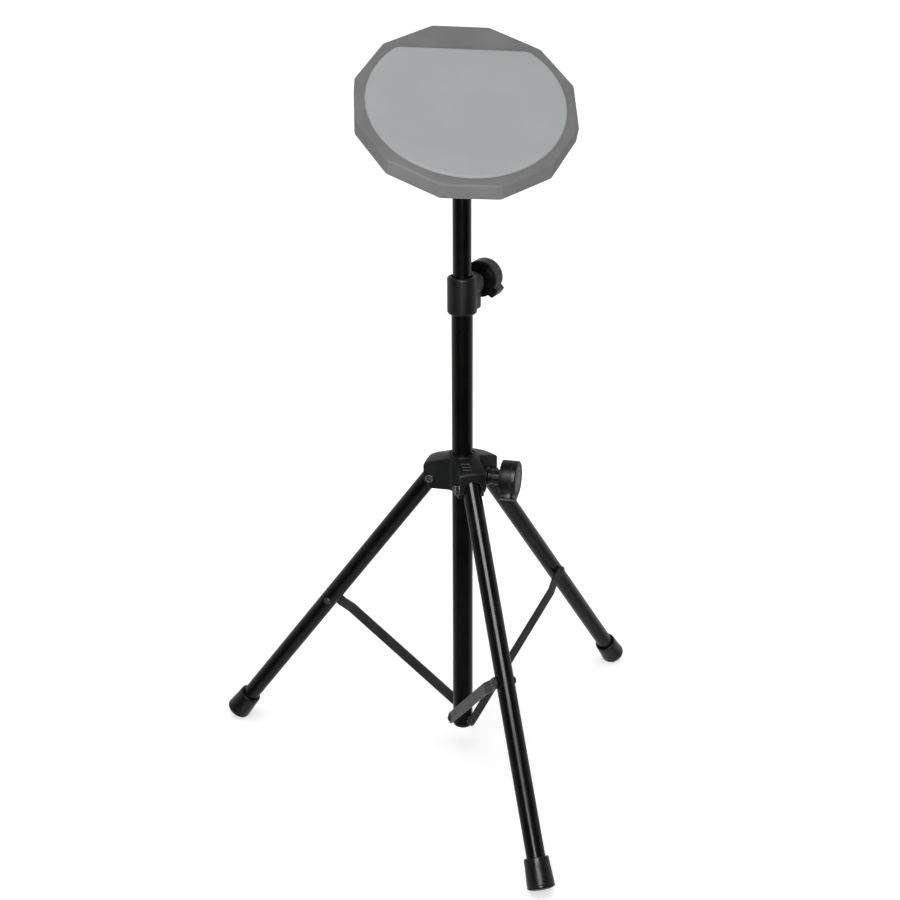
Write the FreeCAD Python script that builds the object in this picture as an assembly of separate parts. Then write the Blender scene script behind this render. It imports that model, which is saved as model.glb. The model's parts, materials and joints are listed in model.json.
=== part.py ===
import FreeCAD, Part
import os
from math import asin, atan2, cos, degrees, hypot, radians, sin, sqrt

# Practice pad on a folding tripod stand, in millimetres, +Z up.
# Everything is modelled round the mast axis (x = y = 0) with the floor at z = 0, and is
# moved at the end so that the origin is the bottom centre of the whole stand's box.

Vector = FreeCAD.Vector
Placement = FreeCAD.Placement
Rotation = FreeCAD.Rotation
ORIGIN = Vector(0, 0, 0)
X_AXIS = Vector(1, 0, 0)
Y_AXIS = Vector(0, 1, 0)
Z_AXIS = Vector(0, 0, 1)

# Running and seating gaps
RUN_GAP = 0.05                 # radial gap of every turning or sliding fit
SIDE_GAP = 0.1                 # axial gap beside a part that turns

# Tubes
LOWER_TUBE_R = 11.1            # 7/8 inch tube
UPPER_TUBE_R = 9.525           # 3/4 inch tube, also used for the legs
TUBE_WALL = 1.2
LOWER_TUBE_BOTTOM = 31.0
LOWER_TUBE_TOP = 531.0
UPPER_TUBE_BOTTOM = 268.0
UPPER_TUBE_TOP = 668.0
PLUG_BOTTOM = 27.3             # underside of the mast's end plug
PLUG_DEPTH = 15.0              # how far the plug reaches into the tube

# Tripod: azimuths are counter-clockwise from +X
LEG_AZIMUTHS = {"a": 166.0, "b": 286.0, "c": 46.0}
LEG_PIVOT_R = 33.0
LEG_PIVOT_Z = 334.1
STAY_PIVOT_Z = 37.1
LINK = 204.3                   # leg pivot to leg rivet, and stay pivot to leg rivet
LEG_LENGTH = 408.7             # leg pivot to the end of the foot, along the leg
LEG_OVERRUN = 5.5              # tube above the leg pivot
PIVOT_BOLT_R = 3.0
LEG_PLUG_LENGTH = 16.0

# Feet
FOOT_LENGTH = 30.0
FOOT_TOP_R = 12.5
FOOT_END_R = 14.0
FOOT_FLOOR = 4.0               # rubber under the tube's end
FOOT_RIM = 3.5                 # rounding of the end's rim

# Stay bars: flat steel, offset to the clockwise side of each leg (local -Y)
STAY_WIDTH = 12.0
STAY_THICK = 2.5
STAY_INNER = 13.25             # inner face from the plane through the mast axis
TAB_INNER = 9.7                # inner face of the joggled end tab, beside the leg
JOGGLE_START = 27.0            # before the leg rivet
JOGGLE_END = 14.0
STAY_RIVET_R = 2.0
LEG_RIVET_R = 2.4

# Hub
HUB_BOTTOM = 323.0
HUB_TOP = 361.2                # top of the lip round the mast
HUB_CORE_R = 18.0
HUB_ARM_R = 39.5               # end of each arm from the mast axis
HUB_ARM_HALF = 14.0
HUB_SLOT_HALF = 9.8
HUB_SLOT_R = 21.4              # inner wall of the leg slot
HUB_POCKET_R = 11.5            # round clearance for the leg's end, about its pivot
HUB_ROOF = ((0, 360.8), (14, 360.2), (22, 357.6), (28, 355.8), (34, 354.1), (39, 352), (42.5, 350.2))
HUB_ROOF_END = 3.6             # rounding of the roof at an arm's end
HUB_FILLET = 5.0               # concave fillet between arms
HUB_LIP_R = 15.2
HUB_RIM_GROOVE = (12.6, 13.7, 1.8)   # inner and outer radius, and depth, of the groove in the lip
HUB_RIB_PLACES = (23.0, 28.0, 33.0)   # grip ribs, from the mast axis
HUB_RIB_R = 0.75
HUB_KNOB_AZIMUTH = 345.5
HUB_KNOB_Z = 337.0
HUB_BOSS_R = 10.0

# Collar at the top of the lower tube
COLLAR_R = 15.35
COLLAR_BOTTOM = 515.0
COLLAR_TOP = 554.0
COLLAR_RECESS = (11.4, 3.0)    # radius and depth of the recess round the upper tube
COLLAR_KNOB_AZIMUTH = 65.2
COLLAR_KNOB_Z = 540.4
COLLAR_BOSS_HALF = 9.2         # block under the screw boss
COLLAR_BOSS_R = 11.8

# Clamp screws and knobs: lengths are distances from the mast axis
BOSS_END = 29.0
CLAMP_SCREW_R = 4.0
CLAMP_NUT_R = 6.0
KNOB_BACK = 43.5
KNOB_STEM_R = 8.3
KNOB_R = 19.3                  # round part of the head
KNOB_WING_R = 23.8             # tip of the thumb wing
KNOB_WING_BASE = 19.0          # half angle of the wing at the round part
KNOB_WING_TIP = 13.0           # half angle of the wing at its tip
KNOB_NOTCH_R = 1.1             # notches beside the wing
KNOB_DEPTH = 18.0
KNOB_WALL = 2.2                # wall round the hollow back
KNOB_HOLLOW = 11.0             # depth of the hollow back
KNOB_CAP_R = 15.2
KNOB_CAP_THICK = 2.2
COLLAR_KNOB_TURN = -49.0       # where the wing stands at rest, from straight down
HUB_KNOB_TURN = -33.0

# Tilter between the upper tube and the pad
TILT_PIVOT_Z = 693.6
TILT_AXIS_AZIMUTH = 9.6
PAD_TILT = 36.4                # pad leaning at rest
PAD_SPIN = -5.0                # pad turned on its stud at rest
EAR_GAP_HALF = 6.0
EAR_THICK = 4.0
EAR_R = 11.0
KNUCKLE_R = 9.0
TILT_BOLT_R = 3.0

# Pad: heights are distances from the tilt pivot along the pad's axis
PAD_R = 110.3                  # corner radius of the twelve-sided base
PAD_SIDES = 12
PAD_BACK = 27.5
PAD_TOP = 46.0
PAD_CORNER = 8.0
PAD_RIM = 2.2
SURFACE_R = 97.0
SURFACE_CHORD = 71.7           # straight side, from the pad's centre
SURFACE_CORNER = 10.0
SURFACE_PROUD = 2.2
SURFACE_SINK = 1.0
GRIP_R = 88.0
GRIP_THICK = 1.3
STUD_R = 3.95
INSERT_BORE_R = 4.0
INSERT_R = 6.5
INSERT_LENGTH = 14.0

# Values worked out from the driving dimensions
PIVOT_RISE = LEG_PIVOT_Z - STAY_PIVOT_Z
PIVOT_SPAN = hypot(LEG_PIVOT_R, PIVOT_RISE)
APEX_OUT = sqrt(LINK ** 2 - (PIVOT_SPAN / 2) ** 2)
RIVET_X = LEG_PIVOT_R / 2 + APEX_OUT * PIVOT_RISE / PIVOT_SPAN
RIVET_Z = STAY_PIVOT_Z + PIVOT_RISE / 2 - APEX_OUT * LEG_PIVOT_R / PIVOT_SPAN
LEG_ANGLE = degrees(atan2(RIVET_X - LEG_PIVOT_R, LEG_PIVOT_Z - RIVET_Z))
STAY_ANGLE = degrees(atan2(RIVET_X, RIVET_Z - STAY_PIVOT_Z))
STAY_ANGLE_FOLDED = degrees(asin(LEG_PIVOT_R / LINK))
HUB_TRAVEL = LINK * (1 + cos(radians(STAY_ANGLE_FOLDED))) - PIVOT_RISE


# ---- helpers ----------------------------------------------------------------------------

def cylinder(radius, low, high, round_low=0.0, round_high=0.0):
    """Cylinder along Z from low to high, with its end edges rounded."""
    solid = Part.makeCylinder(radius, high - low, Vector(0, 0, low))
    for height, rounding in ((low, round_low), (high, round_high)):
        if rounding:
            solid = solid.makeFillet(rounding, edges_at_height(solid, height))
    return solid


def tube(outer, inner, low, high):
    """Plain ring along Z."""
    return cylinder(outer, low, high).cut(cylinder(inner, low - 1, high + 1))


def cross_bar(radius, low, high):
    """Cylinder along Y from low to high."""
    return Part.makeCylinder(radius, high - low, Vector(0, low, 0), Y_AXIS)


def block(x, y, z):
    """Box from three (low, high) pairs."""
    return Part.makeBox(x[1] - x[0], y[1] - y[0], z[1] - z[0], Vector(x[0], y[0], z[0]))


def edges_at_height(solid, height):
    """Edges that lie wholly in the level plane at this height."""
    return [edge for edge in solid.Edges
            if abs(edge.BoundBox.ZMin - height) < 1e-3 and abs(edge.BoundBox.ZMax - height) < 1e-3]


def upright_edges(solid):
    """Straight edges parallel to Z."""
    return [edge for edge in solid.Edges
            if edge.BoundBox.ZLength > 1 and hypot(edge.BoundBox.XLength, edge.BoundBox.YLength) < 1e-3]


def prism(points, low, high):
    """Upright prism on a closed outline of (x, y) points."""
    outline = [Vector(x, y, low) for x, y in points]
    face = Part.Face(Part.makePolygon(outline + outline[:1]))
    return face.extrude(Vector(0, 0, high - low))


def regular_outline(sides, radius, first_angle):
    """Corners of a regular polygon."""
    angles = [radians(first_angle + 360.0 * side / sides) for side in range(sides)]
    return [(radius * cos(angle), radius * sin(angle)) for angle in angles]


def spun(points):
    """Solid of revolution about Z of a closed outline of (radius, z) points."""
    outline = [Vector(radius, 0, z) for radius, z in points]
    face = Part.Face(Part.makePolygon(outline + outline[:1]))
    return face.revolve(ORIGIN, Z_AXIS, 360)


def hex_nut(across_flats, bore, low, high):
    """Nut along Z."""
    outline = regular_outline(6, across_flats / 2 / cos(radians(30)), 0)
    chamfer = cylinder(across_flats * 0.56, low, high, 0.8, 0.8)
    return prism(outline, low, high).common(chamfer).cut(cylinder(bore, low - 1, high + 1))


def dome(radius, height):
    """Rivet or bolt head: a cap of a sphere standing on z = 0."""
    ball_r = (radius ** 2 + height ** 2) / (2 * height)
    ball = Part.makeSphere(ball_r, Vector(0, 0, height - ball_r))
    return ball.common(cylinder(radius + 1, 0, height + 1))


def placed(solid, placement):
    """Copy of a solid moved by a placement."""
    copy = solid.copy()
    copy.Placement = placement.multiply(copy.Placement)
    return copy


def about_mast(azimuth):
    """Turn about the mast axis."""
    return Placement(ORIGIN, Rotation(Z_AXIS, azimuth))


def along_y(offset, direction):
    """Placement that sends +Z to +Y (direction 1) or -Y (direction -1) at an offset in Y."""
    return Placement(Vector(0, offset, 0), Rotation(X_AXIS, -90 * direction))


# ---- frames of the moving groups ----------------------------------------------------------

def leg_frame(azimuth):
    """Origin at the leg pivot, +Z down along the leg, +Y across it."""
    lean = Placement(Vector(LEG_PIVOT_R, 0, LEG_PIVOT_Z), Rotation(Y_AXIS, 180 - LEG_ANGLE))
    return about_mast(azimuth).multiply(lean)


def stay_frame(azimuth):
    """Origin at the stay's lower pivot, +Z along the bar."""
    lean = Placement(Vector(0, 0, STAY_PIVOT_Z), Rotation(Y_AXIS, STAY_ANGLE))
    return about_mast(azimuth).multiply(lean)


def mast_foot_frame(azimuth):
    """Origin on the mast axis at the stay pivots, +X along the leg."""
    return about_mast(azimuth).multiply(Placement(Vector(0, 0, STAY_PIVOT_Z), Rotation()))


def clamp_frame(azimuth, height):
    """Origin on the mast axis, +Z out along a clamp screw."""
    turn = Placement(Vector(0, 0, height), Rotation(Y_AXIS, 90))
    return about_mast(azimuth).multiply(turn)


def tilter_frame():
    """Origin at the tilt pivot, +X along the tilt axis, +Z along the pad's stud."""
    lean = Placement(Vector(0, 0, TILT_PIVOT_Z), Rotation(X_AXIS, PAD_TILT))
    return about_mast(TILT_AXIS_AZIMUTH).multiply(lean)


def yoke_frame():
    """Origin at the tilt pivot, upright, +X along the tilt axis."""
    rise = Placement(Vector(0, 0, TILT_PIVOT_Z), Rotation())
    return about_mast(TILT_AXIS_AZIMUTH).multiply(rise)


def pad_frame():
    """Tilter frame turned so that +Y points at the base's straight-sided edge."""
    return tilter_frame().multiply(Placement(ORIGIN, Rotation(Z_AXIS, PAD_SPIN)))


# ---- mast ---------------------------------------------------------------------------------

def stay_rivet_shank(radius, start=3.0):
    """Shank across the mast's wall on the stay's side, in the mast foot frame."""
    return cross_bar(radius, -(STAY_INNER + STAY_THICK + SIDE_GAP), -start)


def drilled_for_stays(solid):
    """Solid with the three stay rivet holes."""
    for azimuth in LEG_AZIMUTHS.values():
        solid = solid.cut(placed(stay_rivet_shank(STAY_RIVET_R), mast_foot_frame(azimuth)))
    return solid


def lower_tube():
    inner = LOWER_TUBE_R - TUBE_WALL
    return drilled_for_stays(tube(LOWER_TUBE_R, inner, LOWER_TUBE_BOTTOM, LOWER_TUBE_TOP))


def bottom_plug():
    """End plug with a rounded cap of the tube's own diameter."""
    cap = cylinder(LOWER_TUBE_R, PLUG_BOTTOM, LOWER_TUBE_BOTTOM, round_low=3.0)
    shank = cylinder(LOWER_TUBE_R - TUBE_WALL, LOWER_TUBE_BOTTOM, LOWER_TUBE_BOTTOM + PLUG_DEPTH)
    return drilled_for_stays(cap.fuse(shank).removeSplitter())


def stay_rivets():
    """The three rivets that hold the stay bars to the mast."""
    head = placed(dome(4.2, 2.2), along_y(-(STAY_INNER + STAY_THICK + SIDE_GAP), -1))
    rivet = stay_rivet_shank(STAY_RIVET_R).fuse(head).removeSplitter()
    return [placed(rivet, mast_foot_frame(azimuth)) for azimuth in LEG_AZIMUTHS.values()]


def stay_washers():
    """Spacers between the mast and each stay bar."""
    thickness = STAY_INNER - SIDE_GAP / 2 - LOWER_TUBE_R
    spacer = tube(5.0, STAY_RIVET_R, 0, thickness)
    spacer = placed(spacer, along_y(-LOWER_TUBE_R, -1))
    return [placed(spacer, mast_foot_frame(azimuth)) for azimuth in LEG_AZIMUTHS.values()]


def collar():
    """Moulded sleeve on the lower tube's end that guides the upper tube."""
    body = cylinder(COLLAR_R, COLLAR_BOTTOM, COLLAR_TOP, 2.8, 2.5)
    rib = block((0, BOSS_END), (-COLLAR_BOSS_HALF, COLLAR_BOSS_HALF), (COLLAR_BOTTOM, COLLAR_KNOB_Z))
    rib = rib.makeFillet(3.0, [edge for edge in upright_edges(rib) if edge.BoundBox.XMin > 1])
    rib = rib.makeFillet(1.5, edges_at_height(rib, COLLAR_BOTTOM))
    rib = rib.common(block((0, 40), (-20, 20), (COLLAR_BOTTOM, COLLAR_TOP)))
    boss = cylinder(COLLAR_BOSS_R, 0, BOSS_END, round_high=1.2)
    body = body.fuse([placed(rib, about_mast(COLLAR_KNOB_AZIMUTH)),
                      placed(boss, clamp_frame(COLLAR_KNOB_AZIMUTH, COLLAR_KNOB_Z))])
    recess_r, recess_depth = COLLAR_RECESS
    body = body.cut(cylinder(LOWER_TUBE_R, COLLAR_BOTTOM - 1, LOWER_TUBE_TOP))
    body = body.cut(cylinder(UPPER_TUBE_R + RUN_GAP, LOWER_TUBE_TOP - 1, COLLAR_TOP + 1))
    body = body.cut(cylinder(recess_r, COLLAR_TOP - recess_depth, COLLAR_TOP + 1))
    screw_hole = cylinder(CLAMP_NUT_R, 0, BOSS_END + 1)
    return body.cut(placed(screw_hole, clamp_frame(COLLAR_KNOB_AZIMUTH, COLLAR_KNOB_Z)))


# ---- hub ----------------------------------------------------------------------------------

def hub_plan():
    """Three arms round a core, as an upright prism with filleted crooks."""
    plan = cylinder(HUB_CORE_R, HUB_BOTTOM, HUB_TOP + 5)
    for azimuth in LEG_AZIMUTHS.values():
        arm = block((0, HUB_ARM_R), (-HUB_ARM_HALF, HUB_ARM_HALF), (HUB_BOTTOM, HUB_TOP + 5))
        plan = plan.fuse(placed(arm, about_mast(azimuth)))
    plan = plan.removeSplitter()
    crooks = [edge for edge in upright_edges(plan)
              if hypot(edge.CenterOfMass.x, edge.CenterOfMass.y) < HUB_ARM_R - 5]
    return plan.makeFillet(HUB_FILLET, crooks)


def hub_hood():
    """Envelope that gives the arms their falling tops."""
    roof = Part.BSplineCurve()
    roof.interpolate([Vector(radius, 0, height) for radius, height in HUB_ROOF])
    (inner_r, inner_z), (outer_r, outer_z) = HUB_ROOF[0], HUB_ROOF[-1]
    rest = Part.makePolygon([Vector(outer_r, 0, outer_z), Vector(outer_r, 0, HUB_BOTTOM),
                             Vector(inner_r, 0, HUB_BOTTOM), Vector(inner_r, 0, inner_z)])
    face = Part.Face(Part.Wire([roof.toShape()] + rest.Edges))
    return face.revolve(ORIGIN, Z_AXIS, 360)


def roof_end_edges(body):
    """Edges where the roof meets the arms' end faces."""
    ends = []
    for edge in body.Edges:
        middle = edge.CenterOfMass
        for azimuth in LEG_AZIMUTHS.values():
            local = about_mast(azimuth).inverse().multVec(middle)
            if abs(local.x - HUB_ARM_R) < 0.05 and abs(local.y) < 1 and local.z > HUB_BOTTOM + 5:
                ends.append(edge)
    return ends


def ear_corner():
    """What is cut from an arm's lower outer corner to round it about the leg pivot."""
    radius = HUB_ARM_R - LEG_PIVOT_R
    corner = block((LEG_PIVOT_R, HUB_ARM_R + 1), (-20, 20), (HUB_BOTTOM - 1, LEG_PIVOT_Z))
    round_end = Part.makeCylinder(radius, 40, Vector(LEG_PIVOT_R, -20, LEG_PIVOT_Z), Y_AXIS)
    return corner.cut(round_end)


def leg_slot():
    """Slot that takes the leg's upper end: arched over the pivot, open below and at the arm's end."""
    width = (-HUB_SLOT_HALF, HUB_SLOT_HALF)
    pocket = Part.makeSphere(HUB_POCKET_R, Vector(LEG_PIVOT_R, 0, LEG_PIVOT_Z))
    pocket = pocket.common(block((0, 60), width, (HUB_BOTTOM, HUB_TOP)))
    return pocket.fuse(block((HUB_SLOT_R, HUB_ARM_R + 5), width, (HUB_BOTTOM - 1, LEG_PIVOT_Z)))


def roof_height(radius):
    """Height of the roof at this distance from the mast axis, straight between its points."""
    for (inner_r, inner_z), (outer_r, outer_z) in zip(HUB_ROOF, HUB_ROOF[1:]):
        if radius <= outer_r:
            return inner_z + (outer_z - inner_z) * (radius - inner_r) / (outer_r - inner_r)


def hood_ribs():
    """Three short grip ribs, set slantwise on top of the front arm."""
    ribs = []
    for distance in HUB_RIB_PLACES:
        rib = Part.makeCylinder(HUB_RIB_R, 9.0, Vector(0, -4.5, 0), Y_AXIS)
        slant = Placement(Vector(distance, -3.7, roof_height(distance)), Rotation(Z_AXIS, -22))
        ribs.append(placed(rib, about_mast(LEG_AZIMUTHS["b"]).multiply(slant)))
    return ribs


def hub():
    """Moulded slider that carries the legs."""
    body = hub_plan().common(hub_hood())
    body = body.makeFillet(HUB_ROOF_END, roof_end_edges(body))
    lip = cylinder(HUB_LIP_R, HUB_TOP - 5, HUB_TOP, round_high=0.6)
    boss = cylinder(HUB_BOSS_R, 0, BOSS_END, round_high=1.0)
    body = body.fuse([lip, placed(boss, clamp_frame(HUB_KNOB_AZIMUTH, HUB_KNOB_Z))] + hood_ribs())
    groove_inner, groove_outer, groove_depth = HUB_RIM_GROOVE
    body = body.cut(cylinder(LOWER_TUBE_R + RUN_GAP, HUB_BOTTOM - 5, HUB_TOP + 5))
    body = body.cut(tube(groove_outer, groove_inner, HUB_TOP - groove_depth, HUB_TOP + 5))
    pivot_hole = cross_bar(PIVOT_BOLT_R, -20, 20)
    pivot_hole.translate(Vector(LEG_PIVOT_R, 0, LEG_PIVOT_Z))
    for azimuth in LEG_AZIMUTHS.values():
        for cutter in (leg_slot(), ear_corner(), pivot_hole):
            body = body.cut(placed(cutter, about_mast(azimuth)))
    screw_hole = cylinder(CLAMP_NUT_R, 0, BOSS_END + 1)
    return body.cut(placed(screw_hole, clamp_frame(HUB_KNOB_AZIMUTH, HUB_KNOB_Z)))


def leg_pivot_bolts():
    """Dish-headed bolts across the hub's arms, heads on the +Y side."""
    bolts = []
    for azimuth in LEG_AZIMUTHS.values():
        head = cylinder(4.3, 0, 1.6, round_high=0.5)
        head = head.cut(cylinder(3.2, 0.7, 3)).fuse(cylinder(1.3, 0.5, 1.1))
        bolt = cross_bar(PIVOT_BOLT_R, -(HUB_ARM_HALF + 5.5), HUB_ARM_HALF)
        bolt = bolt.fuse(placed(head, along_y(HUB_ARM_HALF, 1))).removeSplitter()
        bolt.translate(Vector(LEG_PIVOT_R, 0, LEG_PIVOT_Z))
        bolts.append(placed(bolt, about_mast(azimuth)))
    return bolts


def leg_pivot_nuts():
    """Nuts on the pivot bolts."""
    nuts = []
    for azimuth in LEG_AZIMUTHS.values():
        nut = placed(hex_nut(10.0, PIVOT_BOLT_R, 0, 4.5), along_y(-HUB_ARM_HALF, -1))
        nut.translate(Vector(LEG_PIVOT_R, 0, LEG_PIVOT_Z))
        nuts.append(placed(nut, about_mast(azimuth)))
    return nuts


# ---- legs and stays -----------------------------------------------------------------------

def leg_cross_holes():
    """Pivot and rivet holes across a leg, in the leg frame."""
    rivet_hole = cross_bar(LEG_RIVET_R, -20, 20)
    rivet_hole.translate(Vector(0, 0, LINK))
    return cross_bar(PIVOT_BOLT_R + RUN_GAP, -20, 20).fuse(rivet_hole)


def leg_tube():
    body = tube(UPPER_TUBE_R, UPPER_TUBE_R - TUBE_WALL, -LEG_OVERRUN, LEG_LENGTH - FOOT_FLOOR)
    return body.cut(leg_cross_holes())


def leg_plug():
    """Plug in the leg tube's upper end, drilled for the pivot bolt."""
    top = -LEG_OVERRUN + 0.5
    return cylinder(UPPER_TUBE_R - TUBE_WALL, top, top + LEG_PLUG_LENGTH).cut(leg_cross_holes())


def foot():
    """Tapered rubber cap with a worn flat where it meets the floor; built in the leg frame."""
    top = LEG_LENGTH - FOOT_LENGTH
    body = Part.makeCone(FOOT_TOP_R, FOOT_END_R, FOOT_LENGTH, Vector(0, 0, top))
    body = body.makeFillet(FOOT_RIM, edges_at_height(body, LEG_LENGTH))
    body = body.makeFillet(1.2, edges_at_height(body, top))
    return body.cut(cylinder(UPPER_TUBE_R, top - 1, LEG_LENGTH - FOOT_FLOOR))


def leg_rivet():
    """Leg's share of the rivet: domed head on +Y, shank to the tube's far side."""
    shank = cross_bar(LEG_RIVET_R, -(TAB_INNER - SIDE_GAP), UPPER_TUBE_R)
    head = placed(dome(4.2, 2.2), along_y(UPPER_TUBE_R, 1))
    rivet = shank.fuse(head).removeSplitter()
    rivet.translate(Vector(0, 0, LINK))
    return rivet


def stay_side_profile():
    """Edge view of the joggled bar in the (y, z) plane, as a slab of the bar's width."""
    start = LINK - JOGGLE_START
    end = LINK - JOGGLE_END
    tip = LINK + STAY_WIDTH
    inner = [(-STAY_INNER, -STAY_WIDTH), (-STAY_INNER, start), (-TAB_INNER, end), (-TAB_INNER, tip)]
    outer = [(y - STAY_THICK, z) for y, z in reversed(inner)]
    outline = [Vector(-STAY_WIDTH / 2, y, z) for y, z in inner + outer]
    face = Part.Face(Part.makePolygon(outline + outline[:1]))
    return face.extrude(Vector(STAY_WIDTH, 0, 0))


def stay_bar():
    """Flat bar with rounded ends and a joggle beside the leg, in the stay frame."""
    half = STAY_WIDTH / 2
    outline = cross_bar(half, -20, 0).fuse(block((-half, half), (-20, 0), (0, LINK)))
    far_end = cross_bar(half, -20, 0)
    far_end.translate(Vector(0, 0, LINK))
    bar = stay_side_profile().common(outline.fuse(far_end).removeSplitter())
    far_hole = cross_bar(LEG_RIVET_R, -20, 0)
    far_hole.translate(Vector(0, 0, LINK))
    return bar.cut(cross_bar(STAY_RIVET_R + RUN_GAP, -20, 0)).cut(far_hole)


def stay_rivet_head():
    """Stay's share of the leg rivet: shank in the tab and the formed head outside it."""
    outer = TAB_INNER + STAY_THICK
    shank = cross_bar(LEG_RIVET_R, -outer, -TAB_INNER)
    head = placed(dome(4.0, 1.8), along_y(-outer, -1))
    rivet = shank.fuse(head).removeSplitter()
    rivet.translate(Vector(0, 0, LINK))
    return rivet


# ---- clamps: built along +Z from the mast axis ---------------------------------------------

def clamp_nut():
    """Threaded metal insert moulded into a boss."""
    return tube(CLAMP_NUT_R, CLAMP_SCREW_R + RUN_GAP, 15.5, BOSS_END)


def clamp_shoe(tube_r):
    """Plastic shoe that the screw presses on a tube, hollowed to fit it."""
    shoe = cylinder(CLAMP_NUT_R - 0.1, tube_r - 2, 14.4)
    tube_space = Part.makeCylinder(tube_r + RUN_GAP, 40, Vector(-20, 0, 0), X_AXIS)
    return shoe.cut(tube_space)


def clamp_screw():
    return cylinder(CLAMP_SCREW_R, 14.45, KNOB_BACK + KNOB_HOLLOW + 3, round_low=0.8)


def knob_blank(inset, low, high):
    """Disc with one thumb wing towards +X, moved in by inset."""
    radius = KNOB_R - inset
    corners = []
    for reach, half_angle in ((radius, KNOB_WING_BASE), (KNOB_WING_R - inset, KNOB_WING_TIP)):
        angle = radians(half_angle)
        corners.append((reach * cos(angle), reach * sin(angle) - inset / 2))
    outline = [(0, 0)] + [(x, -y) for x, y in corners] + [(x, y) for x, y in reversed(corners)]
    wing = prism(outline, low, high)
    tips = [edge for edge in upright_edges(wing) if edge.CenterOfMass.x > radius + 1]
    return cylinder(radius, low, high).fuse(wing.makeFillet(2.0, tips)).removeSplitter()


def clamp_knob():
    """Hand knob: a stem and a round head with a thumb wing, hollow behind, seated for its cap."""
    front = KNOB_BACK + KNOB_DEPTH
    floor = KNOB_BACK + KNOB_HOLLOW
    head = knob_blank(0, KNOB_BACK, front)
    head = head.makeChamfer(0.8, edges_at_height(head, front))
    for side in (-1, 1):
        notch = Part.makeCylinder(KNOB_NOTCH_R, KNOB_DEPTH, Vector(KNOB_R + 0.3, 0, KNOB_BACK))
        turn = Placement(ORIGIN, Rotation(Z_AXIS, side * (KNOB_WING_BASE + 3)))
        head = head.cut(placed(notch, turn))
    head = head.cut(knob_blank(KNOB_WALL, KNOB_BACK - 1, floor))
    body = head.fuse(cylinder(KNOB_STEM_R, BOSS_END + 0.3, floor + 1))
    body = body.cut(cylinder(KNOB_CAP_R, front - KNOB_CAP_THICK, front + 1))
    return body.cut(cylinder(CLAMP_SCREW_R, 0, floor + 3))


def clamp_knob_cap():
    """Round cap inset in a knob's face."""
    front = KNOB_BACK + KNOB_DEPTH
    return cylinder(KNOB_CAP_R, front - KNOB_CAP_THICK, front + 0.3, round_high=0.3)


# ---- upper mast and tilter -----------------------------------------------------------------

def upper_tube():
    return tube(UPPER_TUBE_R, UPPER_TUBE_R - TUBE_WALL, UPPER_TUBE_BOTTOM, UPPER_TUBE_TOP)


def glide_bush():
    """Bush that guides the upper tube's end inside the lower tube; the tube turns on it."""
    ring = cylinder(LOWER_TUBE_R - TUBE_WALL - RUN_GAP, UPPER_TUBE_BOTTOM - 18, UPPER_TUBE_BOTTOM - SIDE_GAP)
    spigot = cylinder(UPPER_TUBE_R - TUBE_WALL - RUN_GAP, UPPER_TUBE_BOTTOM - 1, UPPER_TUBE_BOTTOM + 15)
    bore = cylinder(5.5, UPPER_TUBE_BOTTOM - 20, UPPER_TUBE_BOTTOM + 20)
    return ring.fuse(spigot).cut(bore)


def tilter_yoke():
    """Clevis on the upper tube, in the yoke frame: plug, flange and two ears."""
    seat = UPPER_TUBE_TOP - TILT_PIVOT_Z
    width = EAR_GAP_HALF + EAR_THICK
    plug = cylinder(UPPER_TUBE_R - TUBE_WALL, seat - 26, seat)
    flange = cylinder(UPPER_TUBE_R + 1.2, seat, seat + 4)
    stem = block((-width, width), (-EAR_R, EAR_R), (seat + 3, 0)).common(cylinder(12.5, seat + 3, 0))
    ears = Part.makeCylinder(EAR_R, 2 * width, Vector(-width, 0, 0), X_AXIS)
    body = plug.fuse([flange, stem, ears])
    body = body.cut(block((-EAR_GAP_HALF, EAR_GAP_HALF), (-20, 20), (-KNUCKLE_R - 1.6, 20)))
    return body.cut(Part.makeCylinder(TILT_BOLT_R, 40, Vector(-20, 0, 0), X_AXIS))


def tilter_bolt():
    """Bolt through the ears, head on the -X side."""
    width = EAR_GAP_HALF + EAR_THICK
    shank = Part.makeCylinder(TILT_BOLT_R, 2 * width + 11, Vector(-width, 0, 0), X_AXIS)
    head = placed(dome(7.0, 3.5), Placement(Vector(-width, 0, 0), Rotation(Y_AXIS, -90)))
    return shank.fuse(head).removeSplitter()


def tilter_wing_nut():
    """Wing nut on the tilter bolt, in the yoke frame."""
    start = EAR_GAP_HALF + EAR_THICK + 0.2
    barrel = Part.makeCone(6.5, 5.5, 8.5, Vector(start, 0, 0), X_AXIS)
    wing = block((start + 2.5, start + 13), (0, 15), (-1.4, 1.4))
    outer = [edge for edge in wing.Edges if edge.BoundBox.YMin > 14 and edge.BoundBox.ZLength > 2]
    wing = wing.makeFillet(4.0, outer)
    other = placed(wing, Placement(ORIGIN, Rotation(X_AXIS, 180)))
    nut = barrel.fuse([wing, other]).removeSplitter()
    return nut.cut(Part.makeCylinder(TILT_BOLT_R + RUN_GAP, 40, Vector(0, 0, 0), X_AXIS))


def tilter_head():
    """Knuckle between the ears with the table that the pad's stud stands on."""
    half = EAR_GAP_HALF - SIDE_GAP
    knuckle = Part.makeCylinder(KNUCKLE_R, 2 * half, Vector(-half, 0, 0), X_AXIS)
    neck = block((-half, half), (-7, 7), (0, 15))
    table = cylinder(11.5, 14, 19, round_high=0.8)
    body = knuckle.fuse([neck, table]).removeSplitter()
    body = body.cut(Part.makeCylinder(TILT_BOLT_R + RUN_GAP, 40, Vector(-20, 0, 0), X_AXIS))
    return body.cut(cylinder(STUD_R, 6, 30))


def pad_stud():
    return cylinder(STUD_R, 6, PAD_BACK + INSERT_LENGTH - 3, round_high=0.8)


def lock_nut():
    return hex_nut(13.0, STUD_R, 19, 24.4)


def stud_washer():
    """Washer that the pad's back rests on."""
    return tube(11.0, STUD_R, 24.4, PAD_BACK - GRIP_THICK - RUN_GAP)


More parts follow.
